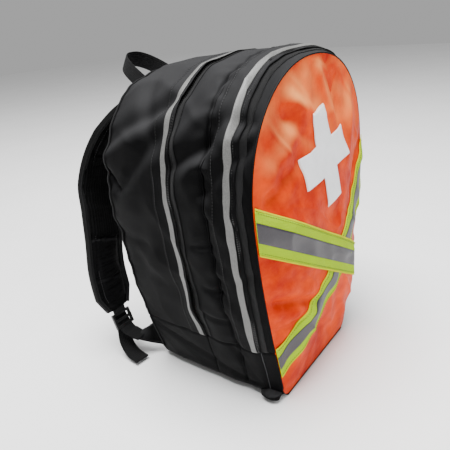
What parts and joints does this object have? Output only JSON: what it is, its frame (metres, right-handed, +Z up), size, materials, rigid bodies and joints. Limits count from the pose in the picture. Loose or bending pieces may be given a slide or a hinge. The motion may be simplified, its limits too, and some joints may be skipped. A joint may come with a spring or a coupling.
{
  "type": "trauma backpack",
  "caption": "Clamshell medical backpack with two zipped compartments, padded straps, haul loop, orange front panel, cross patch and crossed reflective tapes.",
  "frame": {"origin": "centre of the bounding box at floor level", "axes": "+Z up, -Y out of the orange front panel, +Y towards the wearer's back, +X to the right seen from the front"},
  "size_m": [0.346, 0.3541, 0.4602],
  "materials": {
    "black_nylon": "coarse-weave coated nylon, matt",
    "black_mesh": "spacer mesh over foam",
    "black_webbing": "woven webbing",
    "orange_fabric": "coated nylon, soft sheen",
    "white_patch": "satin reflective vinyl",
    "lime_tape": "fluorescent woven tape",
    "silver_tape": "glass-bead reflective film",
    "reflective_strip": "glass-bead reflective film",
    "zip_coil": "woven tape with nylon coil",
    "zip_metal": "black enamel",
    "black_plastic": "moulded acetal",
    "grey_lining": "padded lining",
    "foam_board": "stiff foam board"
  },
  "bodies": {
    "rear_section": {"rear_shell": "black_nylon", "base_board": "black_nylon", "bottom_binding": "black_webbing", "frame_sheet": "foam_board", "elastic_band_lower": "black_webbing", "elastic_band_upper": "black_webbing", "main_zip_tape_rear": "zip_coil", "main_zip_flap": "black_nylon", "main_reflective_strip": "reflective_strip", "back_edge_piping": "black_webbing", "back_pad_left": "black_mesh", "back_pad_right": "black_mesh", "lumbar_pad": "black_mesh", "strap_yoke": "black_nylon", "wing_tab_left": "black_nylon", "wing_tab_right": "black_nylon", "strap_anchor_left": "black_webbing", "strap_anchor_right": "black_webbing", "haul_loop_anchor": "black_webbing"},
    "middle_section": {"middle_shell": "black_nylon", "divider_wall": "grey_lining", "divider_pocket": "black_mesh", "divider_pocket_hem": "black_webbing", "instrument_loops": "black_webbing", "main_zip_tape_front": "zip_coil", "front_zip_tape_rear": "zip_coil", "front_zip_flap": "black_nylon", "front_reflective_strip": "reflective_strip", "centre_seam_piping": "black_nylon"},
    "front_lid": {"front_gusset": "black_nylon", "front_panel": "orange_fabric", "cross_patch": "white_patch", "hivis_tape_lower": "lime_tape", "hivis_tape_lower_centre": "silver_tape", "hivis_tape_upper": "lime_tape", "hivis_tape_upper_centre": "silver_tape", "front_zip_tape_front": "zip_coil", "front_seam_piping": "black_nylon", "lid_mesh_pocket": "black_mesh", "lid_pocket_hem": "black_webbing"},
    "haul_loop": {"haul_loop": "black_webbing"},
    "main_slider": {"main_zip_slider": "zip_metal"},
    "main_pull": {"main_zip_pull": "zip_metal"},
    "front_slider": {"front_zip_slider": "zip_metal"},
    "front_pull": {"front_zip_pull": "zip_metal"},
    "shoulder_strap_left": {"strap_pad_left": "black_mesh", "ladder_lock_left": "black_plastic", "strap_webbing_left": "black_webbing", "strap_tail_left": "black_webbing"},
    "shoulder_strap_right": {"strap_pad_right": "black_mesh", "ladder_lock_right": "black_plastic", "strap_webbing_right": "black_webbing", "strap_tail_right": "black_webbing"}
  },
  "joints": [
    {"name": "main_compartment_hinge", "type": "hinge", "parent": "rear_section", "child": "middle_section", "pos_m": [0, -0.1539, 0.0042], "axis": [1, 0, 0], "range_deg": [0, 55]},
    {"name": "front_compartment_hinge", "type": "hinge", "parent": "middle_section", "child": "front_lid", "pos_m": [0, -0.1539, 0.0042], "axis": [1, 0, 0], "range_deg": [0, 30]},
    {"name": "haul_loop_hinge", "type": "hinge", "parent": "rear_section", "child": "haul_loop", "pos_m": [0, 0.0861, 0.399], "axis": [1, 0, 0], "range_deg": [-45, 12]},
    {"name": "main_zip_slide", "type": "slide", "parent": "middle_section", "child": "main_slider", "axis": [0.2085, 0, 0.978], "range_m": [0, 0.04]},
    {"name": "main_pull_hinge", "type": "hinge", "parent": "main_slider", "child": "main_pull", "pos_m": [0.15093, -0.0447, 0.136], "axis": [0, -1, 0], "range_deg": [0, 120]},
    {"name": "front_zip_slide", "type": "slide", "parent": "front_lid", "child": "front_slider", "axis": [0.1978, 0, 0.9803], "range_m": [0, 0.04]},
    {"name": "front_pull_hinge", "type": "hinge", "parent": "front_slider", "child": "front_pull", "pos_m": [0.14308, -0.1293, 0.136], "axis": [0, -1, 0], "range_deg": [0, 120]},
    {"name": "shoulder_strap_left_swing", "type": "hinge", "parent": "rear_section", "child": "shoulder_strap_left", "pos_m": [-0.06, 0.0916, 0.409], "axis": [0.1738, -0.0634, 0.9827], "range_deg": [-25, 25]},
    {"name": "shoulder_strap_right_swing", "type": "hinge", "parent": "rear_section", "child": "shoulder_strap_right", "pos_m": [0.06, 0.0916, 0.409], "axis": [-0.1738, -0.0634, 0.9827], "range_deg": [-25, 25]}
  ]
}
